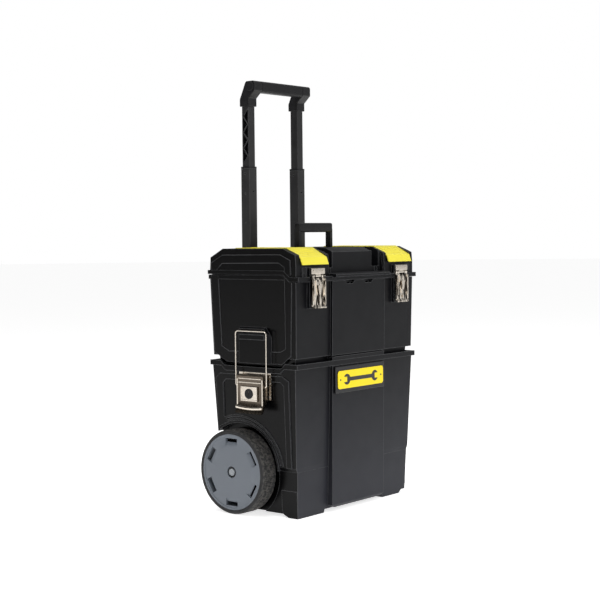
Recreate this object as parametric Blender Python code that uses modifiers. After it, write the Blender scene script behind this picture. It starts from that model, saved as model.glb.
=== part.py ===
"""Rolling tool box: a wheeled bin, a lift-off top box with a hinged lid, and a telescopic trolley handle.

World frame: X along the front, -Y is the front, Z up, and the floor is Z = 0. Lengths below are in
millimetres, heights are from a datum FLOOR_DROP above the floor, and both become metres in the helpers.
"""
from math import cos, pi, radians, sin

import bmesh
import bpy
from mathutils import Matrix, Vector

NAME = "rolling_tool_box"
MM = 0.001

# lid
LID_TOP = 623.0
LID_SIDE_X = 234.0
FLANGE_X = 236.5
FLANGE_Y = 140.0
SEAM_REAR = 562.5
SEAM_FRONT = 546.5
# lid hinge
HINGE_Y = 146.5
HINGE_Z = 591.5
HINGE_R = 5.5
# channels over the handle tubes
POLE_X = 94.0
POLE_Y = 129.5
CHANNEL = (76.0, 112.0)
CHANNEL_FLOOR = 553.0
# bin
RIM_X = 237.0
RIM_Y = 134.5
RIM_TOP = 357.0
STEP_Z = 114.0
# wheels
WHEEL_R = 100.0
WHEEL_Y = 49.0
WHEEL_Z = 96.0
WHEEL_X = 238.0
TYRE_HALF = 25.0
AXLE_R = 6.0
WELL_R = 113.5
WELL_X = 209.0
FLOOR_DROP = 4.0
# trolley grip, as (y, z)
GRIP = (109.0, 1017.5)
# carry handle
CARRY_PIVOT = (2.0, 605.0)
# latches
LATCH_X = 168.0
LATCH_PIVOT = (-141.5, 559.5)
SIDE_Y = -6.0
SIDE_PIVOT = (243.0, 324.0)
BAIL_X = 250.0
BAIL_Z = (302.0, 431.0)
WIRE_R = 1.8

for item in list(bpy.data.objects):
    bpy.data.objects.remove(item, do_unlink=True)

scene = bpy.context.scene
parts = bpy.data.collections.new(NAME)
cutters = bpy.data.collections.new("cutters")
scene.collection.children.link(parts)
scene.collection.children.link(cutters)


def place(ob, name, collection=None):
    """Names an object and moves it to its collection."""
    ob.name = name
    ob.data.name = name
    for c in list(ob.users_collection):
        c.objects.unlink(ob)
    (collection or cutters).objects.link(ob)
    if collection is None:
        ob.hide_render = True
        ob.display_type = "WIRE"
    return ob


def frustum(name, low, high, z0, z1):
    """A block whose bottom and top rectangles are (x0, x1, y0, y1)."""
    bpy.ops.mesh.primitive_cube_add(size=2)
    ob = bpy.context.object
    for v in ob.data.vertices:
        r = low if v.co.z < 0 else high
        v.co = (
            (r[0] if v.co.x < 0 else r[1]) * MM,
            (r[2] if v.co.y < 0 else r[3]) * MM,
            (z0 if v.co.z < 0 else z1) * MM,
        )
    return place(ob, name)


def box(name, x0, x1, y0, y1, z0, z1):
    x0, x1 = sorted((x0, x1))
    return frustum(name, (x0, x1, y0, y1), (x0, x1, y0, y1), z0, z1)


def rod(name, r, centre, axis, a0, a1, sides=24, r2=None):
    """A round bar along an axis, from a0 to a1 on it; centre gives the other two places."""
    a0, a1 = sorted((a0, a1))
    bpy.ops.mesh.primitive_cone_add(
        vertices=sides, radius1=r * MM, radius2=(r if r2 is None else r2) * MM, depth=(a1 - a0) * MM
    )
    ob = bpy.context.object
    turn = {
        "X": Matrix.Rotation(pi / 2, 4, "Y"),
        "Y": Matrix.Rotation(-pi / 2, 4, "X"),
        "Z": Matrix.Identity(4),
    }[axis]
    middle = (a0 + a1) / 2
    at = {
        "X": (middle, centre[0], centre[1]),
        "Y": (centre[0], middle, centre[1]),
        "Z": (centre[0], centre[1], middle),
    }[axis]
    ob.data.transform(Matrix.Translation(Vector(at) * MM) @ turn)
    ob.location = (0, 0, 0)
    return place(ob, name)


def outline(name, points, axis, a0, a1, bevel=0.0):
    """An extruded outline. Axis X takes (y, z) points, axis Y takes (x, z) and axis Z takes (x, y)."""
    a0, a1 = sorted((a0, a1))
    curve = bpy.data.curves.new(name, "CURVE")
    curve.dimensions = "2D"
    curve.fill_mode = "BOTH"
    curve.extrude = (a1 - a0) / 2 * MM
    if bevel:
        curve.extrude -= bevel * MM
        curve.bevel_depth = bevel * MM
        curve.bevel_resolution = 0
        curve.offset = -bevel * MM
    spline = curve.splines.new("POLY")
    spline.points.add(len(points) - 1)
    spline.use_cyclic_u = True
    for p, (u, v) in zip(spline.points, points):
        p.co = (u * MM, v * MM, 0, 1)
    ob = bpy.data.objects.new(name, curve)
    cutters.objects.link(ob)
    bpy.context.view_layer.update()
    mesh = bpy.data.meshes.new_from_object(ob.evaluated_get(bpy.context.evaluated_depsgraph_get()))
    bpy.data.objects.remove(ob, do_unlink=True)
    turn = {
        "X": Matrix(((0, 0, 1, 0), (1, 0, 0, 0), (0, 1, 0, 0), (0, 0, 0, 1))),
        "Y": Matrix(((1, 0, 0, 0), (0, 0, -1, 0), (0, 1, 0, 0), (0, 0, 0, 1))),
        "Z": Matrix.Identity(4),
    }[axis]
    middle = (a0 + a1) / 2 * MM
    shift = {"X": (middle, 0, 0), "Y": (0, middle, 0), "Z": (0, 0, middle)}[axis]
    mesh.transform(Matrix.Translation(shift) @ turn)
    tidy(mesh)
    return place(bpy.data.objects.new(name, mesh), name)


def tidy(mesh):
    """Welds a mesh and turns its faces outwards."""
    bm = bmesh.new()
    bm.from_mesh(mesh)
    bmesh.ops.remove_doubles(bm, verts=bm.verts, dist=1e-5)
    bmesh.ops.recalc_face_normals(bm, faces=bm.faces)
    bm.to_mesh(mesh)
    bm.free()


def wire(name, points, r, sides=8, cyclic=False):
    """A round wire through points."""
    curve = bpy.data.curves.new(name, "CURVE")
    curve.dimensions = "3D"
    curve.bevel_depth = r * MM
    curve.bevel_resolution = max(0, sides // 4 - 1)
    curve.use_fill_caps = True
    spline = curve.splines.new("POLY")
    spline.points.add(len(points) - 1)
    spline.use_cyclic_u = cyclic
    for p, q in zip(spline.points, points):
        p.co = (q[0] * MM, q[1] * MM, q[2] * MM, 1)
    ob = bpy.data.objects.new(name, curve)
    cutters.objects.link(ob)
    bpy.context.view_layer.update()
    mesh = bpy.data.meshes.new_from_object(ob.evaluated_get(bpy.context.evaluated_depsgraph_get()))
    bpy.data.objects.remove(ob, do_unlink=True)
    tidy(mesh)
    return place(bpy.data.objects.new(name, mesh), name)


def combine(ob, tools, how):
    """Adds one Boolean a tool, in order."""
    for tool in tools:
        m = ob.modifiers.new(how.lower(), "BOOLEAN")
        m.operation = how
        m.solver = "EXACT"
        m.object = tool
        tool.hide_render = True
        tool.display_type = "WIRE"
    return ob


def add(ob, *tools):
    return combine(ob, tools, "UNION")


def cut(ob, *tools):
    return combine(ob, tools, "DIFFERENCE")


def keep(ob, *tools):
    return combine(ob, tools, "INTERSECT")


def bevel(ob, width, segments=1, angle=35):
    m = ob.modifiers.new("bevel", "BEVEL")
    m.width = width * MM
    m.segments = segments
    m.limit_method = "ANGLE"
    m.angle_limit = radians(angle)
    m.harden_normals = False
    return ob


def bake(ob):
    """Applies the modifiers so far, so that the result can be bevelled or cut again."""
    bpy.context.view_layer.update()
    mesh = bpy.data.meshes.new_from_object(ob.evaluated_get(bpy.context.evaluated_depsgraph_get()))
    ob.modifiers.clear()
    ob.data = mesh
    tidy(mesh)
    return ob


def finish(ob, name, colour, rough=0.5, metal=0.0, pivot=None):
    """Moves a finished piece to the object's collection with its own material and its origin on its joint."""
    place(ob, name, parts)
    ob.hide_render = False
    ob.display_type = "TEXTURED"
    ob.data.transform(Matrix.Translation((0, 0, FLOOR_DROP * MM)))
    if pivot:
        at = (Vector(pivot) + Vector((0, 0, FLOOR_DROP))) * MM
        ob.data.transform(Matrix.Translation(-at))
        ob.matrix_world = Matrix.Translation(at)
    mat = bpy.data.materials.new(name)
    mat.use_nodes = True
    shader = mat.node_tree.nodes["Principled BSDF"]
    shader.inputs["Base Color"].default_value = (*colour, 1)
    shader.inputs["Roughness"].default_value = rough
    shader.inputs["Metallic"].default_value = metal
    ob.data.materials.clear()
    ob.data.materials.append(mat)
    return ob


def side_name(s):
    return "left" if s < 0 else "right"


def ring(name, outer, inner, s, x0, x1):
    """A raised frame on a side wall: the outer outline less the inner one."""
    a = outline(name, outer, "X", s * x0, s * x1)
    b = outline(name + "_in", inner, "X", s * (x0 - 5), s * (x1 + 5))
    return bake(cut(a, b))


def boss(name, s, x_wall, wall, x_face, face):
    """A block on a side wall that narrows outwards: (y0, y1, z0, z1) at the wall and on its face."""
    ob = box(name, -1, 1, -1, 1, -1, 1)
    for v in ob.data.vertices:
        x, (y0, y1, z0, z1) = (x_face, face) if v.co.x > 0 else (x_wall, wall)
        v.co = Vector((s * x, y1 if v.co.y > 0 else y0, z1 if v.co.z > 0 else z0)) * MM
    tidy(ob.data)
    return ob


def lean(ob, s, slope, z0):
    """Shears a side feature so that it follows the wall's draft."""
    for v in ob.data.vertices:
        v.co.x += s * slope * (v.co.z - z0 * MM)
    return ob


BLACK = (0.02, 0.02, 0.022)
CHARCOAL = (0.045, 0.046, 0.05)
YELLOW = (0.9, 0.72, 0.02)
NICKEL = (0.6, 0.58, 0.55)
STEEL = (0.5, 0.5, 0.5)


def build_bin():
    x0, x1, y0, y1 = -224.5, 224.5, -119, 117
    body = frustum("bin", (x0, x1, y0, y1), (-234, 234, -126.4, 128.6), STEP_Z, 345.4)
    # the rim dips along both sides
    rim = box("rim", -RIM_X, RIM_X, -RIM_Y, RIM_Y, 345, RIM_TOP)
    notch = [(-99, RIM_TOP + 0.5), (-86, 346), (89, 346), (104, RIM_TOP + 0.5)]
    rim = bake(cut(rim, outline("notch", notch, "X", -250, 250)))
    dip = [(-96, 346), (-83, 334), (86, 334), (101, 346)]
    slope = 0.041
    tools = [
        rim,
        outline("dip", dip, "X", -RIM_X, RIM_X),
        frustum("step", (-219.3, 219.3, -118.1, 113.6), (x0, x1, y0, y1), STEP_Z - 10, STEP_Z + 0.4),
        frustum("foot_body", (-216, 216, -115, 112), (-220, 220, -118.5, 114), 4, STEP_Z - 9),
        frustum("front_panel", (-104, 104, -130, -108), (-104, 104, -134, -108), 12, 366),
        frustum("panel_sole", (-92, 92, -126, -108), (-104, 104, -130, -108), 6, 12.5),
    ]
    for s in (-1, 1):
        shape = [(-115.6, -4), (-88, -4), (-73, 3), (-69.5, 12), (-69.5, 60), (-115.6, 60)]
        shoe = outline("foot", shape, "X", s * 118, s * 219)
        toe = outline("toe", [(s * 110, -10), (s * 124, -10), (s * 110, 25)], "Y", -140, -40)
        shoe = bake(cut(shoe, toe))
        if s > 0:
            heel = outline("heel", [(230, -10), (230, 26), (184, -10)], "Y", -140, -40)
            shoe = bake(cut(shoe, heel))
        tools.append(lean(shoe, s, 0.04, 60))
        outer = [(117, 284), (119, 314), (106, 326), (-87, 328), (-107, 317), (-107, 114), (117, 114)]
        inner = [(96, 221), (96, 304), (86, 313), (-82, 314), (-92, 306), (-92, 110), (-30, 110), (88, 216)]
        frame = ring("bin_frame", outer, inner, s, 216, 227.4)
        hole = rod("well_gap", 119, (WHEEL_Y, WHEEL_Z), "X", s * 200, s * 240, 52)
        tools.append(bake(cut(lean(frame, s, slope, STEP_Z), hole)))
        for r in (122, 131):
            rib = rod("arch", r + 2.2, (WHEEL_Y, WHEEL_Z), "X", s * 214, s * 227, 56)
            gap = rod("arch_in", r - 2.2, (WHEEL_Y, WHEEL_Z), "X", s * 200, s * 240, 56)
            rib = bake(cut(rib, gap))
            rib = bake(keep(rib, box("arch_keep", s * 200, s * 240, -106, 116, STEP_Z + 4, 320)))
            tools.append(lean(rib, s, slope, STEP_Z))
    add(body, *tools)
    bake(body)
    top = frustum("hollow", (-221.5, 221.5, -116, 114), (-231, 231, -123.5, 125.6), STEP_Z - 2, 362)
    low = frustum("hollow_low", (-203, 203, -111, 109), (-205, 205, -114, 111), 9, STEP_Z - 1)
    panel = frustum("hollow_panel", (-101, 101, -127, -100), (-101, 101, -131, -100), 15, 370)
    cut(body, top, low, panel, box("panel_back", -106, 106, -118.4, -95, 357.4, 370))
    bake(body)
    # wheel wells, the axle's tunnel and the channel for the handle tubes
    for s in (-1, 1):
        wall = rod("well_wall", WELL_R + 3.4, (WHEEL_Y, WHEEL_Z), "X", s * 206, s * 226.6, 64)
        wall = bake(keep(wall, box("well_keep", s * 200, s * 227, -90, 116, STEP_Z - 9, 260)))
        rest = box("well_floor", s * 203, s * 212, -66, 108, STEP_Z - 12, STEP_Z - 6)
        boss = rod("axle_boss", 20, (WHEEL_Y, WHEEL_Z), "X", s * 190, s * 211, 24)
        add(body, wall, rest, boss)
    add(body, box("tunnel", -200, 200, WHEEL_Y - 15, WHEEL_Y + 15, 7, 117))
    add(body, box("pole_wall", -119, 119, 106, 118, 7, 356.7))
    bake(body)
    for s in (-1, 1):
        cut(body, rod("well", WELL_R, (WHEEL_Y, WHEEL_Z), "X", s * WELL_X, s * 245, 64))
        cut(body, rod("axle_bore", AXLE_R + 0.4, (WHEEL_Y, WHEEL_Z), "X", s * 180, s * 230, 24))
        add(body, rod("axle_hub", 20, (WHEEL_Y, WHEEL_Z), "X", s * (WELL_X - 2), s * (WELL_X + 1.8), 24))
        cut(body, rod("axle_bore", AXLE_R + 0.4, (WHEEL_Y, WHEEL_Z), "X", s * 180, s * 230, 24))
        cut(body, box("pole_gap", s * 74, s * 114, 109.5, 170, 56, 400))
        cut(body, box("latch_seat", s * 233.8, s * 250, SIDE_Y - 49.6, SIDE_Y + 49.6, 270.4, 333.6))
    cut(body, box("tunnel_in", -189, 189, WHEEL_Y - 12, WHEEL_Y + 12, 0, 114))
    bake(body)
    for s in (-1, 1):
        shelf = box("pole_shelf", s * 71, s * 117, 104, 149, 44, 57)
        strap = box("pole_strap", s * 71, s * 117, 118, 151, 322, 346)
        hole = box("pole_pass", s * (POLE_X - 18), s * (POLE_X + 18), 100, POLE_Y + 18, 300, 360)
        add(body, shelf, bake(cut(strap, hole)))
        cut(body, rod("shelf_relief", 9, (s * POLE_X, POLE_Y), "Z", 30, 54, 24))
    bake(body)
    return finish(body, "bin", CHARCOAL, 0.45)


def build_wheels():
    at = (WHEEL_Y, WHEEL_Z)
    face = WHEEL_X + TYRE_HALF - 2
    axle = rod("axle", AXLE_R, at, "X", -face + 1.5, face - 1.5, 24)
    finish(bevel(axle, 1), "axle", STEEL, 0.35, 1.0)
    for s in (-1, 1):
        name = side_name(s)
        pivot = (s * WHEEL_X, WHEEL_Y, WHEEL_Z)
        tyre = rod("tyre", WHEEL_R, at, "X", s * (WHEEL_X - TYRE_HALF), s * (WHEEL_X + TYRE_HALF), 56)
        bevel(tyre, 6, 2)
        bake(tyre)
        cut(tyre, rod("tyre_in", 90.4, at, "X", s * 180, s * 300, 56))
        finish(bake(tyre), "tyre_" + name, BLACK, 0.8, 0, pivot)
        # hub: a rim, a face plate with six ramped windows near its edge, and a nave
        hub = rod("hub", 90, at, "X", s * (WHEEL_X - TYRE_HALF + 1.5), s * (face + 1), 56)
        cut(hub, rod("back", 84, at, "X", s * (face - 7), s * 180, 48))
        cut(hub, rod("front", 84.5, at, "X", s * face, s * 300, 48))
        add(hub, rod("nave", 17, at, "X", s * (WHEEL_X - TYRE_HALF + 1.5), s * (face - 1.5), 24))
        cut(hub, rod("recess", 13.5, at, "X", s * (face - 4.6), s * 300, 32))
        bake(hub)
        ramp = [
            (face + 4, 58.5), (face, 62), (face - 4.6, 71),
            (face - 20, 71.6), (face - 20, 80), (face + 4, 80),
        ]
        for k in range(6):
            shape = [(s * x, WHEEL_Z + r) for x, r in ramp]
            window = outline("window", shape, "Y", WHEEL_Y - 18, WHEEL_Y + 18)
            centre = Vector((0, WHEEL_Y, WHEEL_Z)) * MM
            turn = Matrix.Rotation(radians(60 * k), 4, "X")
            window.data.transform(Matrix.Translation(centre) @ turn @ Matrix.Translation(-centre))
            cut(hub, window)
        hub = bake(hub)
        cut(hub, rod("bore", AXLE_R + 0.06, at, "X", s * 180, s * 300, 24))
        finish(bake(hub), "wheel_hub_" + name, (0.2, 0.22, 0.27), 0.45, 0, pivot)
        washer = rod("washer", 13, at, "X", s * 211.2, s * 213.9, 24)
        cut(washer, rod("washer_in", AXLE_R + 0.3, at, "X", s * 200, s * 240, 24))
        finish(bake(washer), "axle_washer_" + name, STEEL, 0.4, 1.0)
        cap = rod("cap", 8.5, at, "X", s * (face - 4.2), s * (face + 0.6), 24)
        bevel(cap, 1)
        bake(cap)
        cut(cap, rod("cap_in", AXLE_R + 0.3, at, "X", s * 240, s * (face - 1.2), 24))
        finish(bake(cap), "axle_cap_" + name, (0.5, 0.51, 0.53), 0.4)


def tube(name, size, wall, x, z0, z1):
    """A square upright tube with rounded corners, open at both ends."""
    h = size / 2
    ob = bake(upright(box(name, x - h, x + h, POLE_Y - h, POLE_Y + h, z0, z1), 2.2))
    h -= wall
    hole = box(name + "_in", x - h, x + h, POLE_Y - h, POLE_Y + h, z0 - 20, z1 + 20)
    upright(hole, 1.2)
    return bake(cut(ob, bake(hole)))


def upright(ob, width):
    """Rounds only the four upright edges."""
    bm = bmesh.new()
    bm.from_mesh(ob.data)
    edges = [e for e in bm.edges if abs(e.verts[0].co.z - e.verts[1].co.z) > 0.002]
    bmesh.ops.bevel(bm, geom=edges, offset=width * MM, segments=2, profile=0.5, affect="EDGES")
    bm.to_mesh(ob.data)
    bm.free()
    return ob


def build_handle():
    for s in (-1, 1):
        name = side_name(s)
        x = s * POLE_X
        outer = tube("outer", 34, 1.4, x, 57.4, 553)
        finish(outer, "outer_tube_" + name, BLACK, 0.35, 0.3)
        collar = tube("collar", 34, 2.6, x, 553.4, 560.5)
        finish(collar, "outer_collar_" + name, BLACK, 0.5)
        mid = tube("mid", 28.2, 1.6, x, 470, 818)
        cut(mid, rod("pin_hole", 3, (x, 762), "Y", POLE_Y - 20, POLE_Y - 8, 16))
        cut(mid, rod("lock_hole", 3, (POLE_Y, 806), "X", x - 20, x - 8, 16))
        finish(bake(mid), "mid_tube_" + name, BLACK, 0.3, 0.3)
        lip = tube("lip", 28.6, 2.5, x, 818.3, 823)
        finish(lip, "mid_collar_" + name, BLACK, 0.5)
        inner = tube("inner", 23, 1.4, x, 730, 992)
        finish(inner, "inner_tube_" + name, BLACK, 0.3, 0.3)
        # bracket: a socket on the tube whose head leans forward to the grip
        h = 15
        back, front = POLE_Y + h, POLE_Y - h
        profile = [
            (back, 970), (back, 988), (back - 18, 1028), (back - 22, 1031), (99, 1031), (95, 1027),
            (95, 1008), (front, 990), (front, 970),
        ]
        bracket = outline("bracket", profile, "X", x - h, x + h)
        bevel(bracket, 1.6, 2)
        bake(bracket)
        cut(bracket, box("socket", x - 11.8, x + 11.8, POLE_Y - 11.8, POLE_Y + 11.8, 960, 992.4))
        cut(bracket, rod("grip_bore", 9.3, GRIP, "X", x - 30, x + 30, 24))
        finish(bake(bracket), "grip_bracket_" + name, BLACK, 0.4)
        end = rod("end", 11.5, GRIP, "X", s * 109.3, s * 111.6, 24)
        add(end, rod("end_plug", 6.6, GRIP, "X", s * 102, s * 110, 24))
        finish(bevel(bake(end), 0.7), "grip_end_" + name, BLACK, 0.35)
    bar = rod("bar", 9, GRIP, "X", -108.7, 108.7, 24)
    cut(bar, rod("bar_in", 7, GRIP, "X", -120, 120, 24))
    finish(bake(bar), "grip_bar", STEEL, 0.35, 1.0)
    shape = [
        (95, 1008), (98.5, 1004), (119, 1004), (123, 1008),
        (123, 1026), (118.5, 1031), (99, 1031), (95, 1027),
    ]
    sleeve = outline("sleeve", shape, "X", -78.7, 78.7)
    bevel(sleeve, 1.2, 1)
    bake(sleeve)
    cut(sleeve, rod("sleeve_in", 9.3, GRIP, "X", -100, 100, 24))
    finish(bake(sleeve), "grip_sleeve", BLACK, 0.55)


def build_top_box():
    body = frustum("top_box", (-231, 231, -127, 127.7), (-234, 234, -131, 135), 369, 561)
    tools = [
        frustum("nest", (-220, 220, -115, 116), (-222, 222, -117, 118), 349, 370),
        frustum("panel", (-105, 105, -134, -110), (-105, 105, -137, -110), 369, 545),
        box("flange", -235.5, 235.5, -136, 138, 551, 561),
    ]
    for s in (-1, 1):
        tools.append(box("pedestal", s * 142.5, s * 193.5, -138.4, -118, 484, 556))
        outer = [
            (129, 600), (130, 548), (124, 376), (86, 355), (-86, 355), (-113, 376), (-119, 548), (-117, 600),
        ]
        inner = [(109, 600), (100, 391), (78, 380), (-81, 384), (-97, 392), (-98, 600)]
        band = ring("box_frame", outer, inner, s, 227.4, 232.8)
        band = bake(keep(band, box("band_keep", s * 200, s * 260, -160, 160, 354, 560.9)))
        tools.append(lean(band, s, 0.0156, 369))
        wall, face = (SIDE_Y - 51, SIDE_Y + 51, 355, 441), (SIDE_Y - 41, SIDE_Y + 41, 355, 436)
        hook = boss("boss", s, 226.5, wall, 245, face)
        chip = [(-75, 412), (-59, 412), (-37, 441), (-37, 460), (-75, 460)]
        corner = outline("boss_cut", chip, "X", s * 200, s * 260)
        tools.append(bake(cut(hook, corner)))
        for x0, x1 in ((128, 145), (193, 210)):
            tools.append(box("knuckle_web", s * x0, s * x1, 141.2, HINGE_Y + 4, 540, HINGE_Z))
            tools.append(box("knuckle_foot", s * x0, s * x1, 132, HINGE_Y + 4, 540, 560.6))
            tools.append(rod("knuckle", HINGE_R, (HINGE_Y, HINGE_Z), "X", s * x0, s * x1, 24))
    add(body, *tools)
    bake(body)
    hollow = frustum("hollow", (-219, 219, -114, 115), (-219, 219, -114, 115), 352, 375)
    wide = frustum("hollow_wide", (-228, 228, -124, 124.6), (-231.5, 231.5, -128.5, 133), 372, 600)
    panel = frustum("hollow_panel", (-102, 102, -131, -100), (-102, 102, -134, -100), 375, 541)
    low = SEAM_FRONT - 1.2
    drop = [(-160, low), (-113.5, low), (-95.5, 561.2), (-95.5, 600), (-160, 600)]
    front = outline("front_drop", drop, "X", -260, 260)
    cut(body, hollow, wide, panel, front)
    bake(body)
    add(body, box("pole_wall", -118, 118, 106, 134, 359, 561))
    bake(body)
    for s in (-1, 1):
        cut(body, box("pole_gap", s * 74, s * 114, 109.5, 170, 300, 600))
        cut(body, rod("hinge_bore", 2.5, (HINGE_Y, HINGE_Z), "X", s * 120, s * 220, 16))
        cut(body, box("hook_groove", s * 243.6, s * 252, -70, 60, 422.6, 450))
        cut(body, rod("finger", 12, (s * 44, 549), "Y", -150, -129, 24))
        cut(body, rod("finger", 12, (s * 30, 549), "Y", -150, -129, 24))
    cut(body, box("notch", -122, 122, 98, 170, 548, 600))
    cut(body, box("nest_relief", -122, 122, 98, 170, 340, 358.6))
    bake(body)
    for s in (-1, 1):
        add(body, box("hook_lip", s * 243, s * 247.6, SIDE_Y - 39, SIDE_Y + 39, 411, 422.6))
    bake(body)
    return finish(body, "top_box", CHARCOAL, 0.4)


def build_lid():
    side = [
        (-131, SEAM_FRONT), (-131, 586), (-129, 608), (-92, LID_TOP), (93, LID_TOP), (132.6, 602),
        (135, SEAM_REAR), (-95, SEAM_REAR), (-113, SEAM_FRONT),
    ]
    lid = outline("lid", side, "X", -LID_SIDE_X, LID_SIDE_X)
    band = [
        (-FLANGE_Y, SEAM_FRONT), (-FLANGE_Y, 557), (-113, 557), (-95, 572), (FLANGE_Y, 572),
        (FLANGE_Y, SEAM_REAR), (-95, SEAM_REAR), (-113, SEAM_FRONT),
    ]
    tools = [outline("flange", band, "X", -FLANGE_X, FLANGE_X)]
    for s in (-1, 1):
        outer = [(131, 500), (129, 589), (94, 608), (-85, 609), (-115, 596), (-120, 500)]
        inner = [(110, 480), (109, 574), (95, 588), (-80, 590), (-98, 580), (-99, 480)]
        frame = ring("lid_frame", outer, inner, s, 229, 236.2)
        tools.append(bake(keep(frame, box("keep", s * 200, s * 250, -160, 160, SEAM_REAR + 0.3, 640))))
    add(lid, *tools)
    bake(lid)
    inside = [
        (-128, 500), (-128, 585), (-126, 605.6), (-91, 620),
        (92, 620), (129.8, 600), (132, SEAM_REAR), (132, 500),
    ]
    cut(lid, outline("hollow", inside, "X", -231, 231))
    bake(lid)
    # solid blocks for the wells, all under the lid's skin
    channel = [(-114, 550), (134, 550), (132, 601.4), (93, 622), (-91.5, 622), (-114, 612.8)]
    well = [(-127, 577), (67, 577), (67, 621.4), (-90, 621.4), (-127, 604)]
    skirt = [(-129.5, 549), (-113, 549), (-113, 611.5), (-121, 608.5)]
    a, b = CHANNEL
    blocks = [outline("front_block", skirt, "X", -b - 3, b + 3)]
    for s in (-1, 1):
        blocks.append(outline("channel_block", channel, "X", s * (a - 3), s * (b + 3)))
        blocks.append(outline("well_block", well, "X", s * 120.5, s * 219.5))
        blocks.append(box("carry_side", s * 65, s * (a - 2), -18, 90, 590.5, 621))
    blocks.append(box("carry_block", -71, 71, -17, 89, 590.8, 620.7))
    add(lid, *blocks)
    bake(lid)
    ledge = [(-128, 553), (-148, 553), (-152, 555), (-152, 560), (-149, 562.5), (-118, 562.5), (-118, 553)]
    add(lid, outline("ledge", ledge, "X", -109, 109))
    bake(lid)
    holes = [box("front_gap", 1 - b, b - 1, -145, -116, 562.5, 640)]
    for s in (-1, 1):
        holes.append(box("channel", s * a, s * b, -113, 106, CHANNEL_FLOOR, 640))
        holes.append(box("channel_rear", s * a, s * b, 105, 170, 500, 640))
        holes.append(box("channel_mouth", s * (a + 2.5), s * (b - 2.5), -125, -100, 576, 640))
        holes.append(box("well", s * 124.5, s * 215.5, -124, 60, 580, 640))
        seat = [
            (67.5, 621.9), (-90.1, 621.9), (-130, 600.7), (-136.7, 584),
            (-170, 584), (-170, 660), (67.5, 660),
        ]
        holes.append(outline("cover_seat", seat, "X", s * 120.8, s * 219.2))
        holes.append(rod("pivot_bore", 3.2, CARRY_PIVOT, "X", s * 60, s * 73, 16))
    holes.append(box("carry_well", -69, 69, -14, 86, 594, 640))
    cut(lid, *holes)
    bake(lid)
    for s in (-1, 1):
        add(lid, rod("knuckle", HINGE_R, (HINGE_Y, HINGE_Z), "X", s * 145.6, s * 192.4, 24))
        add(lid, box("knuckle_web", s * 145.6, s * 192.4, 130, HINGE_Y, 586.5, 597))
        add(lid, box("latch_base", s * 142.5, s * 193.5, -139.5, -126, 557, 578))
        for k in (88, 100):
            add(lid, box("mouth_rib", s * (k - 1), s * (k + 1), -118, -112, 555, 576))
        for k in range(4):
            add(lid, box("rib", s * (198 + 5 * k), s * (200 + 5 * k), -134, -128, 555, 580))
        cut(lid, rod("hinge_bore", 2.5, (HINGE_Y, HINGE_Z), "X", s * 120, s * 220, 16))
        cut(lid, rod("latch_gap", 4.2, LATCH_PIVOT, "X", s * 140, s * 196, 20))
        cut(lid, box("latch_gap", s * 142, s * 194, -150, -138.6, 540, 560))
    bake(lid)
    return finish(lid, "lid", CHARCOAL, 0.4, 0, (0, HINGE_Y, HINGE_Z))


def build_lid_pieces():
    for s in (-1, 1):
        name = side_name(s)
        pin = rod("pin", 2.2, (HINGE_Y, HINGE_Z), "X", s * 128.5, s * 209.5, 16)
        finish(pin, "lid_hinge_pin_" + name, STEEL, 0.35, 1.0)
        shape = [
            (66, 624.8), (-91, 624.8), (-132.5, 602.5), (-139, 585.2),
            (-136.5, 584.8), (-130.2, 600.9), (-90.2, 622.3), (66, 622.3),
        ]
        cover = outline("cover", shape, "X", s * 121.4, s * 218.6)
        finish(cover, "organiser_cover_" + name, YELLOW, 0.4, 0, (s * 170, 66, 623.55))
        hp = rod("hp", 2.9, CARRY_PIVOT, "X", s * 59, s * 72.6, 16)
        finish(hp, "handle_pin_" + name, STEEL, 0.35, 1.0)
    y, z = CARRY_PIVOT
    grip = box("grip", -66, 66, y - 9, y + 9, 660, 683)
    bevel(grip, 4, 2)
    bake(grip)
    legs = []
    for s in (-1, 1):
        legs.append(box("leg", s * 57, s * 66, y - 7.5, y + 7.5, z - 1, 668))
        legs.append(rod("hub", 8.6, (y, z), "X", s * 56, s * 67.5, 24))
    add(grip, *legs)
    bake(grip)
    for s in (-1, 1):
        cut(grip, rod("hub_bore", 3.2, (y, z), "X", s * 50, s * 80, 16))
    finish(bake(grip), "carry_handle", BLACK, 0.4, 0, (0, y, z))


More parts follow.
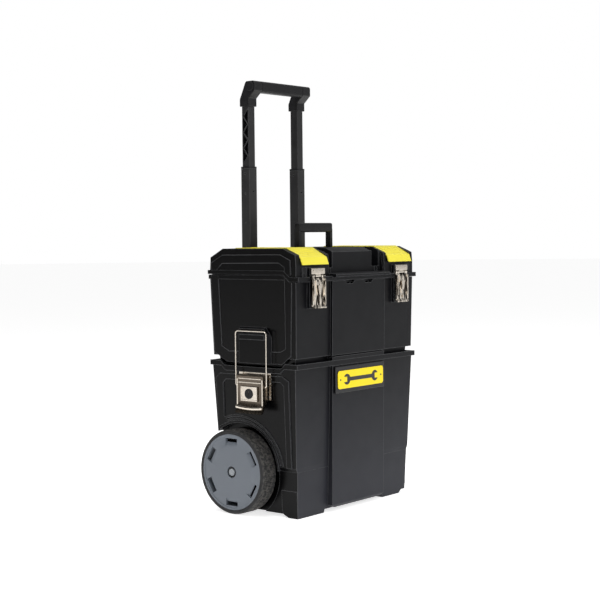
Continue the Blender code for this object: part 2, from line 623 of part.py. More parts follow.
def build_front_latches():
    y, z = LATCH_PIVOT
    for s in (-1, 1):
        name = side_name(s)
        c = s * LATCH_X

        def at(a, b, y0, y1, z0, z1, label="tool"):
            return box(label, c + a, c + b, y0, y1, z0, z1)

        base = at(-25, 25, -144.5, -139.9, 563.5, 577, "bracket")
        bevel(base, 1, 2)
        bake(base)
        add(base, at(-10, 10, -143.5, -139.9, z, 565), rod("roll", 3.2, (y, z), "X", c - 10, c + 10, 20))
        bake(base)
        cut(base, rod("roll_in", 1.9, (y, z), "X", c - 30, c + 30, 16))
        finish(bake(base), "front_latch_bracket_" + name, NICKEL, 0.25, 1.0)
        pin = rod("pin", 1.6, (y, z), "X", c - 24.5, c + 24.5, 16)
        finish(pin, "front_latch_pin_" + name, NICKEL, 0.25, 1.0)
        lever = at(-25, 25, -145, -141, 489, 555, "lever")
        bevel(lever, 1, 2)
        bake(lever)
        for a, b in ((-24.8, -10.6), (10.6, 24.8)):
            add(lever, at(a, b, -144, -141.2, 553, z), rod("roll", 3.2, (y, z), "X", c + a, c + b, 20))
        for a, b in ((-25, -19.5), (19.5, 25)):
            add(lever, at(a, b, -147, -143, 492, 552))
        tongue = [(c - 14, 550), (c + 14, 550), (c + 4, 506), (c - 4, 506)]
        lip = [(-141.2, 489), (-144, 485.5), (-149, 484.5), (-149, 487), (-145, 493), (-141.2, 493)]
        add(lever, outline("tongue", tongue, "Y", -146.4, -143), outline("lip", lip, "X", c - 24, c + 24))
        bake(lever)
        for a, b in ((-24.9, -10.5), (10.5, 24.9)):
            cut(lever, rod("roll_in", 1.9, (y, z), "X", c + a - 2, c + b + 2, 16))
        cut(lever, rod("thumb", 4, (c, 499), "Y", -160, -130, 20))
        finish(bake(lever), "front_latch_lever_" + name, NICKEL, 0.25, 1.0, (c, y, z))
        strike = at(-16, 16, -140.6, -138.8, 494, 520, "strike")
        finish(bevel(strike, 0.5), "catch_" + name, NICKEL, 0.3, 1.0)


def build_side_latches():
    px, pz = SIDE_PIVOT
    y = SIDE_Y
    for s in (-1, 1):
        name = side_name(s)
        # base plate in its seat, with two ears for the pin
        base = box("base", s * 234.2, s * 236.4, y - 49, y + 49, 271, 333)
        for e0 in (y - 36.6, y + 33):
            add(base, box("ear", s * 235, s * 247, e0, e0 + 3.6, 317, 329))
        bake(base)
        cut(base, side_rod("ear_bore", 2.7, s * px, pz, y - 60, y + 60, 16))
        finish(bake(base), "side_latch_base_" + name, NICKEL, 0.3, 1.0)
        pin = side_rod("pin", 2.4, s * px, pz, y - 40, y + 40, 16)
        finish(pin, "side_latch_pin_" + name, STEEL, 0.35, 1.0)
        # lever: a hollow-backed paddle with a curled lower lip
        shape = [
            (239.8, 329), (252, 329), (255, 326), (255.4, 262), (259, 246),
            (263, 240), (260, 238.6), (254, 243), (250, 256), (239.8, 268),
        ]
        lever = outline("lever", [(s * a, b) for a, b in shape], "Y", y - 40.5, y + 40.5)
        add(lever, box("lock_block", s * 250, s * 258.6, y - 26, y + 26, 268, 302))
        bake(lever)
        inner = [(236, 336), (252.2, 336), (252.4, 262), (248, 264), (236, 280)]
        cut(lever, outline("lever_in", [(s * a, b) for a, b in inner], "Y", y - 37.4, y + 37.4))
        cut(lever, side_rod("bail_bore", 2.2, s * BAIL_X, BAIL_Z[0], y - 60, y + 60, 16))
        cut(lever, side_rod("pin_bore", 2.7, s * px, pz, y - 60, y + 60, 16))
        cut(lever, rod("lock_bore", 9.6, (y, 285), "X", s * 240, s * 270, 24))
        finish(bake(lever), "side_latch_lever_" + name, NICKEL, 0.25, 1.0, (s * px, y, pz))
        lock = rod("lock", 9.2, (y, 285), "X", s * 252.6, s * 260, 24)
        add(lock, rod("lock_flange", 12, (y, 285), "X", s * 258.9, s * 260.4, 24))
        bake(lock)
        cut(lock, box("slot", s * 257.5, s * 262, y - 1.2, y + 1.2, 279, 291))
        finish(bake(lock), "lock_" + name, NICKEL, 0.3, 1.0)
        z0, z1 = BAIL_Z
        x = s * BAIL_X
        path = [(x, y - 38.6, z0), (x, y - 44, z0), (x, y - 47, z0 + 3)]
        path += [(x, y - 47, z1 - 6), (x, y - 45, z1 - 2), (x, y - 41, z1)]
        path += [(x, 2 * y - q[1], q[2]) for q in reversed(path)]
        finish(wire("bail", path, WIRE_R, 8), "bail_" + name, STEEL, 0.35, 1.0, (x, y, z0))


def side_rod(name, r, x, z, y0, y1, sides=16):
    """A round bar along Y at (x, z)."""
    return rod(name, r, (x, z), "Y", y0, y1, sides)


def build_badge():
    plate = box("plate", -98.5, 98.5, -138.4, -134.6, 278, 342)
    bevel(plate, 1.5, 2)
    finish(bake(plate), "badge_plate", BLACK, 0.35)
    face = box("face", -91, 91, -140, -138.7, 288, 331)
    finish(face, "badge_face", YELLOW, 0.35)


build_bin()
build_wheels()
build_handle()
build_top_box()
build_lid()
build_lid_pieces()
build_front_latches()
build_side_latches()
build_badge()
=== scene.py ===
"""Looks of the rolling tool box: finishes, small pressed and moulded details, floor, light and camera.

Lengths are in metres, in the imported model's frame: X along the front, -Y is the front, Z up.
"""
from math import asin, cos, pi, radians, sin, sqrt

import bmesh
import bpy
from mathutils import Matrix, Vector


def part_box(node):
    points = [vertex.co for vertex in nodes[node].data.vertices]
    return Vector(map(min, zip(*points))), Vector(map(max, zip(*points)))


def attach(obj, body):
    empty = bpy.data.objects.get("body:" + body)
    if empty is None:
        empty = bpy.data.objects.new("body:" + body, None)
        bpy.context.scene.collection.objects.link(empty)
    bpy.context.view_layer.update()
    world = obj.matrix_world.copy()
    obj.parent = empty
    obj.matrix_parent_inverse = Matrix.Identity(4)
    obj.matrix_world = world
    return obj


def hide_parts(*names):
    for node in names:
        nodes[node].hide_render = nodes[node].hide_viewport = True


MM = 0.001
SIDES = (("left", -1), ("right", 1))

# linear colours
FRONT = (0.0052, 0.0054, 0.0066)
# painted highlight for the edges of the boxes and tubes
EDGE_HIGHLIGHT = (0.085, 0.086, 0.09)
# painted shade for the boxes' flanks
FLANK_SHADE = (0.0010, 0.0010, 0.0012)
BLACK = (0.006, 0.006, 0.007)
SOFT_BLACK = (0.008, 0.008, 0.009)
INK = (0.008, 0.008, 0.008)
YELLOW = (0.86, 0.76, 0.055)
PRINTED_YELLOW = (0.93, 0.72, 0.004)
NICKEL = (0.68, 0.62, 0.54)
DARK_NICKEL = (0.15, 0.125, 0.10)
STEEL = (0.46, 0.45, 0.44)
HUB = (0.125, 0.142, 0.166)
PALE = (0.27, 0.29, 0.31)
COATING = (0.012, 0.012, 0.013)
RUBBER = (0.030, 0.030, 0.031)
DUST = (0.10, 0.095, 0.088)

# the boxes: where the flanks with their painted shade begin, the lid's seam, and the painted light that
# makes the front lighter towards the bottom
FLANK_X = (0.199, 0.203)
SEAM_Z = 0.562
SEAM_FADE = (0.020, 0.026)
BOTTOM_LIGHT_Z = (0.02, 0.36)
# radii of the painted edge highlights on the boxes and on the tubes
HIGHLIGHT_RADIUS = 2.2 * MM
TUBE_HIGHLIGHT_RADIUS = 1.6 * MM
GRAIN_DEPTH = 0.2 * MM
STREAK_DEPTH = 0.1 * MM
RUBBER_DEPTH = 0.5 * MM

# distances of the side latches' faces from the middle of the box
BASE_X = 236.3 * MM
LEVER_X = 255 * MM
LOCK_X = 258.3 * MM
LIP_X = 258.8 * MM

# sockets of a Mix node
FACTOR, FLOAT_A, FLOAT_B, COLOUR_A, COLOUR_B = 0, 2, 3, 6, 7
FLOAT_OUT, COLOUR_OUT = 0, 2

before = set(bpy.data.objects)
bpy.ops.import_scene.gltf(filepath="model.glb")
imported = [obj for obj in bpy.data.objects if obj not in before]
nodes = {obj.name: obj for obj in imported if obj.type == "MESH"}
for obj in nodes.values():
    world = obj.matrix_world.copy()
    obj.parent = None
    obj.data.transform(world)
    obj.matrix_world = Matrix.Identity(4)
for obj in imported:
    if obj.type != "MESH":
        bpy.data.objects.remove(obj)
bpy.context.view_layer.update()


# ---- materials ----

def link(tree, a, b):
    tree.links.new(a, b)


def node(tree, kind, **values):
    """A shader node with its inputs or properties set by name."""
    made = tree.nodes.new("ShaderNode" + kind)
    for key, value in values.items():
        if key in made.inputs:
            made.inputs[key].default_value = value
        else:
            setattr(made, key, value)
    return made


def feed(tree, value, socket):
    """Links an output to a socket, or sets the socket to a colour or a number."""
    if isinstance(value, bpy.types.NodeSocket):
        link(tree, value, socket)
    elif isinstance(value, tuple):
        socket.default_value = (*value, 1)
    else:
        socket.default_value = value


def maths(tree, operation, *values):
    made = node(tree, "Math", operation=operation)
    for value, socket in zip(values, made.inputs):
        feed(tree, value, socket)
    return made.outputs[0]


def axis(tree, vector, letter):
    made = node(tree, "SeparateXYZ")
    link(tree, vector, made.inputs[0])
    return made.outputs[letter]


def spread(tree, value, low, high, from_low=0.3, from_high=0.7):
    """Maps a value from one range onto another, and clamps it there."""
    made = node(tree, "MapRange")
    for key, number in (("From Min", from_low), ("From Max", from_high), ("To Min", low), ("To Max", high)):
        made.inputs[key].default_value = number
    link(tree, value, made.inputs["Value"])
    return made.outputs["Result"]


def mixed(tree, factor, a, b, blend="MIX"):
    """A colour between a and b, each a colour or an output."""
    made = node(tree, "Mix", data_type="RGBA", blend_type=blend)
    for value, index in ((factor, FACTOR), (a, COLOUR_A), (b, COLOUR_B)):
        feed(tree, value, made.inputs[index])
    return made.outputs[COLOUR_OUT]


def start(name, metal=0.0, specular=0.5):
    mat = bpy.data.materials.new(name)
    mat.use_nodes = True
    tree = mat.node_tree
    shader = tree.nodes["Principled BSDF"]
    shader.inputs["Metallic"].default_value = metal
    shader.inputs["Specular IOR Level"].default_value = specular
    place = tree.nodes.new("ShaderNodeTexCoord")
    return mat, tree, shader, place


def noise(tree, place, scale, detail=4.0, stretch=None):
    """A noise over the object's own coordinates, stretched by a scale in x, y and z if one is given."""
    source = place.outputs["Object"]
    if stretch:
        mapping = node(tree, "Mapping", Scale=stretch)
        link(tree, source, mapping.inputs["Vector"])
        source = mapping.outputs["Vector"]
    made = node(tree, "TexNoise", Scale=scale, Detail=detail)
    link(tree, source, made.inputs["Vector"])
    return made.outputs["Fac"]


def bump(tree, shader, height, strength, distance):
    made = node(tree, "Bump", Strength=strength, Distance=distance)
    link(tree, height, made.inputs["Height"])
    link(tree, made.outputs["Normal"], shader.inputs["Normal"])


def edge_mask(tree, radius):
    """1 along the edges and 0 on the flats, from how far a rounded normal turns from the true one."""
    rounded_normal = node(tree, "Bevel", samples=6, Radius=radius)
    geometry = tree.nodes.new("ShaderNodeNewGeometry")
    dot = node(tree, "VectorMath", operation="DOT_PRODUCT")
    link(tree, rounded_normal.outputs["Normal"], dot.inputs[0])
    link(tree, geometry.outputs["Normal"], dot.inputs[1])
    return spread(tree, dot.outputs["Value"], 1, 0, 0.9, 0.995)


def tint(colour, factor):
    return tuple(min(1.0, c * factor) for c in colour)


def moulded(name, colour, rough=0.4, vary=0.2, grain=1400, depth=0.25, specular=0.5):
    """Moulded plastic: cloudy colour, smudged gloss and a fine grain."""
    mat, tree, shader, place = start(name, specular=specular)
    cloud = mixed(tree, noise(tree, place, 14, 5), tint(colour, 1 - vary), tint(colour, 1 + vary))
    link(tree, cloud, shader.inputs["Base Color"])
    smudge = spread(tree, noise(tree, place, 32, 3), rough - 0.05, rough + 0.07)
    link(tree, smudge, shader.inputs["Roughness"])
    bump(tree, shader, noise(tree, place, grain, 2), depth, GRAIN_DEPTH)
    return mat


def plated(name, colour, rough=0.2, stretch=(30, 30, 600), depth=0.12):
    """Plated or brushed metal: streaks along one way, and cloudy gloss."""
    mat, tree, shader, place = start(name, metal=1.0)
    streak = noise(tree, place, 3, 3, stretch)
    cloud = mixed(tree, noise(tree, place, 60, 3), tint(colour, 0.8), tint(colour, 1.12))
    link(tree, cloud, shader.inputs["Base Color"])
    link(tree, spread(tree, streak, rough - 0.06, rough + 0.1), shader.inputs["Roughness"])
    bump(tree, shader, streak, depth, STREAK_DEPTH)
    return mat


def streaked(name, dark, bright):
    """Plated metal with upright streaks, as of dark and bright reflections."""
    mat, tree, shader, place = start(name, metal=1.0)
    streak = noise(tree, place, 1, 3, (150, 150, 34))
    colour = mixed(tree, spread(tree, streak, 0, 1, 0.46, 0.55), dark, bright)
    link(tree, colour, shader.inputs["Base Color"])
    link(tree, spread(tree, streak, 0.14, 0.3), shader.inputs["Roughness"])
    return mat


def seam_cover(tree, place, side):
    """1 everywhere, but near 0 at the level edges along the lid's seam on the flanks, where the painted edge
    highlight is left off.
    """
    rim = node(tree, "Bevel", Radius=HIGHLIGHT_RADIUS)
    level = maths(tree, "ABSOLUTE", axis(tree, rim.outputs[0], "Z"))
    off = maths(tree, "ABSOLUTE", maths(tree, "SUBTRACT", axis(tree, place.outputs["Object"], "Z"), SEAM_Z))
    seam = maths(tree, "MULTIPLY", spread(tree, off, 1, 0, *SEAM_FADE), side)
    hidden = maths(tree, "MULTIPLY", spread(tree, level, 0, 1, 0.05, 0.2), seam)
    return spread(tree, hidden, 1, 0.08, 0, 1)


def shell():
    """The boxes' plastic: satin charcoal in front with painted light towards the bottom, glossier flanks
    painted near black as shade, painted highlights along the edges, and a fine grain.
    """
    mat, tree, shader, place = start("shell_plastic", specular=0.13)
    away = maths(tree, "ABSOLUTE", axis(tree, place.outputs["Normal"], "X"))
    outer = maths(tree, "ABSOLUTE", axis(tree, place.outputs["Object"], "X"))
    side = spread(tree, outer, 0, 1, *FLANK_X)
    # painted shade: faces turned sideways on the flanks are darkened
    shaded_flank = maths(tree, "MULTIPLY", spread(tree, away, 0, 1, 0.62, 0.9), side)
    # painted light: the front is made up to 5.5 times lighter towards the bottom
    low = spread(tree, axis(tree, place.outputs["Object"], "Z"), 1, 0, *BOTTOM_LIGHT_Z)
    front = mixed(tree, low, FRONT, tint(FRONT, 5.5))
    cloud = mixed(tree, noise(tree, place, 9, 5), (0.86,) * 3, (1.14,) * 3)
    both = mixed(tree, shaded_flank, mixed(tree, 1.0, front, cloud, "MULTIPLY"), FLANK_SHADE)
    # painted highlight along the edges, left off at the lid's seam on the flanks
    highlight_mask = maths(tree, "MULTIPLY", edge_mask(tree, HIGHLIGHT_RADIUS), seam_cover(tree, place, side))
    link(tree, mixed(tree, highlight_mask, both, EDGE_HIGHLIGHT), shader.inputs["Base Color"])
    rough = node(tree, "Mix")
    smudge = noise(tree, place, 26, 3)
    link(tree, shaded_flank, rough.inputs[FACTOR])
    link(tree, spread(tree, smudge, 0.36, 0.46), rough.inputs[FLOAT_A])
    link(tree, spread(tree, smudge, 0.2, 0.27), rough.inputs[FLOAT_B])
    link(tree, rough.outputs[FLOAT_OUT], shader.inputs["Roughness"])
    bump(tree, shader, noise(tree, place, 1500, 2), 0.22, GRAIN_DEPTH)
    return mat


def coated():
    """The handle tubes' coating: satin black, with painted highlights along the corners."""
    mat, tree, shader, place = start("black_coated_tube", specular=0.4)
    cloud = mixed(tree, noise(tree, place, 14, 5), tint(COATING, 0.75), tint(COATING, 1.25))
    # painted highlight along the tube corners
    link(tree, mixed(tree, edge_mask(tree, TUBE_HIGHLIGHT_RADIUS), cloud, EDGE_HIGHLIGHT), shader.inputs["Base Color"])
    link(tree, spread(tree, noise(tree, place, 32, 3), 0.29, 0.41), shader.inputs["Roughness"])
    bump(tree, shader, noise(tree, place, 600, 2), 0.1, GRAIN_DEPTH)
    return mat


def rubber():
    """Dusty tyre rubber: mottled in two sizes, and paler on the tread than on the walls."""
    mat, tree, shader, place = start("tyre_rubber", specular=0.25)
    away = maths(tree, "ABSOLUTE", axis(tree, place.outputs["Normal"], "X"))
    wall = mixed(tree, noise(tree, place, 120, 4), tint(RUBBER, 0.5), tint(RUBBER, 1.2))
    patch = mixed(tree, spread(tree, noise(tree, place, 150, 5), 0, 1, 0.42, 0.6), RUBBER, DUST)
    tread = spread(tree, away, 1, 0, 0.3, 0.8)
    link(tree, mixed(tree, tread, wall, patch), shader.inputs["Base Color"])
    link(tree, spread(tree, noise(tree, place, 60, 3), 0.6, 0.85), shader.inputs["Roughness"])
    bump(tree, shader, noise(tree, place, 420, 3), 0.7, RUBBER_DEPTH)
    return mat


SHELL = shell()
SATIN = moulded("satin_black", BLACK, 0.36, 0.25, specular=0.28)
GLOSS = moulded("gloss_black", BLACK, 0.22, 0.2, depth=0.06, specular=0.3)
TUBE = coated()
GRIP = moulded("soft_grip", SOFT_BLACK, 0.5, 0.3, grain=900, depth=0.4, specular=0.2)
YELLOW_PLASTIC = moulded("yellow_plastic", YELLOW, 0.32, 0.04, grain=1200, depth=0.12)
YELLOW_PRINT = moulded("yellow_print", PRINTED_YELLOW, 0.36, 0.03, grain=900, depth=0.05, specular=0.3)
PRINT = moulded("black_print", INK, 0.35, 0.2, depth=0.05)
HUB_PLASTIC = moulded("hub_plastic", HUB, 0.42, 0.1, grain=1100, depth=0.2)
CAP_PLASTIC = moulded("cap_plastic", PALE, 0.4, 0.06)
TYRE = rubber()
PLATE = plated("nickel_plate", NICKEL, 0.2)
STREAKED = streaked("streaked_nickel", tint(DARK_NICKEL, 0.25), tint(NICKEL, 1.1))
SMOKED = plated("smoked_nickel", DARK_NICKEL, 0.24, (30, 600, 30))
BAR = plated("plated_steel", STEEL, 0.3, (400, 400, 20))

FINISH = {
    "bin": SHELL, "top_box": SHELL, "lid": SHELL, "carry_handle": SATIN, "badge_plate": GLOSS, "axle": BAR,
    "outer_tube": TUBE, "mid_tube": TUBE, "inner_tube": TUBE, "outer_collar": SATIN, "mid_collar": SATIN,
    "grip_bracket": SATIN, "grip_end": SATIN, "grip_sleeve": GRIP, "grip_bar": BAR, "handle_pin": BAR,
    "organiser_cover": YELLOW_PLASTIC, "badge_face": YELLOW_PRINT, "tyre": TYRE, "wheel_hub": HUB_PLASTIC,
    "axle_cap": CAP_PLASTIC, "axle_washer": BAR, "lid_hinge_pin": BAR, "side_latch_pin": BAR, "bail": PLATE,
    "side_latch_base": PLATE, "side_latch_lever": SMOKED, "front_latch_bracket": PLATE,
    "front_latch_lever": STREAKED, "front_latch_pin": BAR, "catch": PLATE, "lock": SATIN,
}

# edge radii in millimetres, and the one for every other piece
SOFTEN = {
    "bin": 0.9, "top_box": 0.9, "lid": 0.9, "wheel_hub": 0.7, "organiser_cover": 0.6, "carry_handle": 1.2,
}
SOFTEN_REST = 0.35


def family(name):
    return name.removesuffix("_left").removesuffix("_right")


def smooth(ob, width, segments=2):
    """Rounds the edges by modifiers, so that they catch the light."""
    for face in ob.data.polygons:
        face.use_smooth = True
    weld = ob.modifiers.new("weld", "WELD")
    weld.merge_threshold = 0.00002
    edge = ob.modifiers.new("edges", "BEVEL")
    edge.width = width
    edge.segments = segments
    edge.limit_method = "ANGLE"
    edge.angle_limit = radians(32)
    edge.harden_normals = False
    normal = ob.modifiers.new("normals", "WEIGHTED_NORMAL")
    normal.weight = 100
    normal.keep_sharp = False


def dress():
    """Gives every CAD piece its finish and its rounded edges."""
    for name, ob in nodes.items():
        kind = family(name)
        ob.data.materials.clear()
        ob.data.materials.append(FINISH[kind])
        smooth(ob, SOFTEN.get(kind, SOFTEN_REST) * MM)


# ---- geometry helpers ----

def piece(name, bm, body, mat, soft=0.0):
    """A finished piece that rides on a body."""
    bmesh.ops.recalc_face_normals(bm, faces=bm.faces)
    mesh = bpy.data.meshes.new(name)
    bm.to_mesh(mesh)
    bm.free()
    ob = bpy.data.objects.new(name, mesh)
    bpy.context.scene.collection.objects.link(ob)
    mesh.materials.append(mat)
    if soft:
        smooth(ob, soft)
    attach(ob, body)
    return ob


def prism(points, place, depth, bm=None):
    """Extrudes an outline of (u, v) points by depth along place's third axis."""
    bm = bm or bmesh.new()
    low = [bm.verts.new(place @ Vector((u, v, 0))) for u, v in points]
    top = [bm.verts.new(place @ Vector((u, v, depth))) for u, v in points]
    bm.faces.new(list(reversed(low)))
    bm.faces.new(top)
    n = len(points)
    for k in range(n):
        bm.faces.new((low[k], low[(k + 1) % n], top[(k + 1) % n], top[k]))
    return bm


def rounded(width, height, r, steps=5, u=0.0, v=0.0):
    """A rounded rectangle's outline about (u, v)."""
    out = []
    for k, (cu, cv) in enumerate(((1, 1), (-1, 1), (-1, -1), (1, -1))):
        for i in range(steps + 1):
            a = (k + i / steps) * pi / 2
            out.append((u + cu * (width / 2 - r) + r * cos(a), v + cv * (height / 2 - r) + r * sin(a)))
    return out


def skin(bm, rows, around=True):
    """Faces between neighbouring rows of vertices, each a closed loop, and from the last to the first."""
    for a, b in zip(rows, rows[1:] + (rows[:1] if around else [])):
        for i in range(len(a)):
            j = (i + 1) % len(a)
            bm.faces.new((a[i], a[j], b[j], b[i]))


def circle(r, steps=20, u=0.0, v=0.0):
    return [(u + r * cos(2 * pi * k / steps), v + r * sin(2 * pi * k / steps)) for k in range(steps)]


def facing(origin, u, w):
    """A frame at origin, whose first axis is u and whose third, the way out of the surface, is w."""
    u, w = Vector(u).normalized(), Vector(w).normalized()
    m = Matrix((u, w.cross(u), w)).transposed().to_4x4()
    m.translation = Vector(origin)
    return m


def middle(name):
    lo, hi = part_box(name)
    return (lo + hi) / 2


# ---- pieces ----

def build_tyres():
    """A tyre with rounded shoulders, round grooves and fine cross ribs on its tread."""
    steps = 252
    for name, s in SIDES:
        lo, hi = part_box("tyre_" + name)
        c, r, half = (lo + hi) / 2, (hi.z - lo.z) / 2, (hi.x - lo.x) / 2
        inner = r - 9.4 * MM
        side = [
            (-half, inner), (-half, r - 5.5 * MM),
            (-half + 1.6 * MM, r - 2.2 * MM), (-half + 4.2 * MM, r - 0.5 * MM),
        ]
        tread = []
        ribs = 7
        width = 2 * (half - 4.4 * MM) / ribs
        for k in range(ribs):
            a = -half + 4.4 * MM + k * width
            tread += [(a + 0.2 * width, r, 1), (a + 0.75 * width, r, 1), (a + 0.85 * width, r - 0.9 * MM, 0)]
        tread = tread[:-1]
        profile = [(x, q, 0) for x, q in side] + tread + [(-x, q, 0) for x, q in reversed(side)]
        bm = bmesh.new()
        rows = []
        for k in range(steps):
            a = 2 * pi * k / steps
            row = []
            for x, q, ribbed in profile:
                q = q - 1.3 * MM * ribbed * (k % 2)
                row.append(bm.verts.new((c.x + x, c.y + q * cos(a), c.z + q * sin(a))))
            rows.append(row)
        skin(bm, rows)
        ob = piece("ribbed_tyre_" + name, bm, "wheel_" + name, TYRE)
        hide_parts("tyre_" + name)


def wrench(length, r, half_bar, half_jaw, depth, steps=10):
    """The outline of a double-ended spanner about the origin."""
    out = []
    start_at, stop_at = asin(half_bar / r), pi - asin(half_jaw / r)
    for k in range(steps + 1):
        a = start_at + (stop_at - start_at) * k / steps
        out.append((length / 2 - r * cos(a), r * sin(a)))
    bottom = length / 2 + sqrt(r * r - half_jaw * half_jaw) - depth
    out += [(bottom, half_jaw), (bottom, -half_jaw)]
    out += [(u, -v) for u, v in reversed(out[:steps + 1])]
    return list(reversed(out)) + [(-u, -v) for u, v in reversed(out)]


def build_badge():
    """The badge's yellow panel, with a printed spanner between two dots."""
    lo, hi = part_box("badge_face")
    c = (lo + hi) / 2
    place = facing((c.x, hi.y, c.z), (1, 0, 0), (0, -1, 0))
    thick = hi.y - lo.y
    bm = prism(rounded(hi.x - lo.x, hi.z - lo.z, 7 * MM), place, thick)
    face = piece("badge_panel", bm, "bin", YELLOW_PRINT, 0.3 * MM)
    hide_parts("badge_face")
    on = place @ Matrix.Translation((0, 0, thick))
    bm = prism(wrench(112 * MM, 13 * MM, 4.6 * MM, 6.2 * MM, 12 * MM), on, 0.35 * MM)
    for side in (-1, 1):
        prism(circle(2.2 * MM, 16, side * 81 * MM), on, 0.35 * MM, bm)
    piece("badge_spanner", bm, "bin", PRINT)


def build_cover_ribs():
    """Raised bars on each cover's slope, and three short ones at its rear."""
    for name, s in SIDES:
        lo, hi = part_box("organiser_cover_" + name)
        x = (lo.x + hi.x) / 2
        half = (hi.x - lo.x) / 2
        top, nose = Vector((x, -0.091, hi.z)), Vector((x, -0.1325, hi.z - 22.3 * MM))
        down = (nose - top).normalized()
        out = Vector((1, 0, 0)).cross(down)
        out = out if out.z > 0 else -out
        bm = bmesh.new()
        for k in range(4):
            at = top + down * (11 + 8.5 * k) * MM
            bar = rounded(2 * half - 30 * MM, 2.6 * MM, 1.25 * MM, 4)
            prism(bar, facing(at, (1, 0, 0), out), 0.55 * MM, bm)
        for k in range(3):
            at = Vector((x, 0.045 - 7 * MM * k, hi.z))
            prism(rounded(28 * MM, 2.2 * MM, 1.05 * MM, 4), facing(at, (1, 0, 0), (0, 0, 1)), 0.6 * MM, bm)
        piece("cover_ribs_" + name, bm, "cover_" + name, YELLOW_PLASTIC)


def cutter(name, bm, body, *targets):
    """A hidden tool that cuts CAD pieces of its own body by a modifier."""
    ob = piece(name, bm, body, SATIN)
    ob.hide_render = True
    ob.display_type = "WIRE"
    for target in targets:
        m = nodes[target].modifiers.new(name, "BOOLEAN")
        m.operation = "DIFFERENCE"
        m.solver = "EXACT"
        m.object = ob
        # after the weld and before the edges are rounded
        nodes[target].modifiers.move(len(nodes[target].modifiers) - 1, 1)


def build_tube_details():
    """The truss of triangular pockets on the inner tubes, and the stop holes of the middle ones."""
    for name, s in SIDES:
        lo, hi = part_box("inner_tube_" + name)
        start_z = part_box("mid_collar_" + name)[1].z + 6 * MM
        stop_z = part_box("grip_bracket_" + name)[0].z - 4 * MM
        count = 7
        pitch = (stop_z - start_z) / count
        place = facing((s * max(abs(lo.x), abs(hi.x)), (lo.y + hi.y) / 2, start_z), (0, 1, 0), (s, 0, 0))
        up = 1 if (place.to_3x3() @ Vector((0, 1, 0))).z > 0 else -1
        w, bar = (hi.y - lo.y) / 2 - 3.4 * MM, 1.3 * MM
        bm = bmesh.new()
        for k in range(count - 1):
            side = 1 if k % 2 else -1
            z0, z1 = k * pitch + bar, (k + 2) * pitch - bar
            tri = [(-side * w, z0), (-side * w, z1), (side * (w - 2 * bar), (z0 + z1) / 2)]
            prism([(u, up * v) for u, v in tri], place @ Matrix.Translation((0, 0, -2.4 * MM)), 4 * MM, bm)
        cutter("truss_pockets_" + name, bm, "handle_top", "inner_tube_" + name)
        lo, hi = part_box("mid_tube_" + name)
        bm = bmesh.new()
        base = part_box("outer_collar_" + name)[1].z
        place = facing((s * max(abs(lo.x), abs(hi.x)), (lo.y + hi.y) / 2, base), (0, 1, 0), (s, 0, 0))
        up = 1 if (place.to_3x3() @ Vector((0, 1, 0))).z > 0 else -1
        for k in range(3):
            hole = circle(2.4 * MM, 16, 0, up * (52 + 72 * k) * MM)
            prism(hole, place @ Matrix.Translation((0, 0, -1 * MM)), 2 * MM, bm)
        cutter("stop_holes_" + name, bm, "handle_mid", "mid_tube_" + name)


def build_front_latch_details():
    """Pressed strips and a tongue on the front levers, and two rivets on each bracket."""
    for name, s in SIDES:
        lo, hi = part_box("front_latch_lever_" + name)
        x, w, h = (lo.x + hi.x) / 2, hi.x - lo.x, hi.z - lo.z
        face = facing((x, lo.y + 0.2 * MM, lo.z), (1, 0, 0), (0, -1, 0))
        bm = bmesh.new()
        for side in (-1, 1):
            strip = rounded(2.2 * MM, 0.56 * h, 1 * MM, 4, side * (w / 2 - 4.6 * MM), 0.5 * h)
            prism(strip, face, 0.9 * MM, bm)
        tongue = [(-6.5 * MM, 0.68 * h), (6.5 * MM, 0.68 * h), (2.2 * MM, 0.4 * h), (-2.2 * MM, 0.4 * h)]
        prism(tongue, face, 0.8 * MM, bm)
        piece("latch_strips_" + name, bm, "front_lever_" + name, PLATE, 0.25 * MM)
        lo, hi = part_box("front_latch_bracket_" + name)
        x, w = (lo.x + hi.x) / 2, hi.x - lo.x
        bm = bmesh.new()
        for side in (-1, 1):
            at = facing((x + side * 0.32 * w, lo.y + 0.1 * MM, hi.z - 6 * MM), (1, 0, 0), (0, -1, 0))
            prism(circle(2.3 * MM), at, 0.8 * MM, bm)
        piece("latch_rivets_" + name, bm, "lid", PLATE, 0.35 * MM)


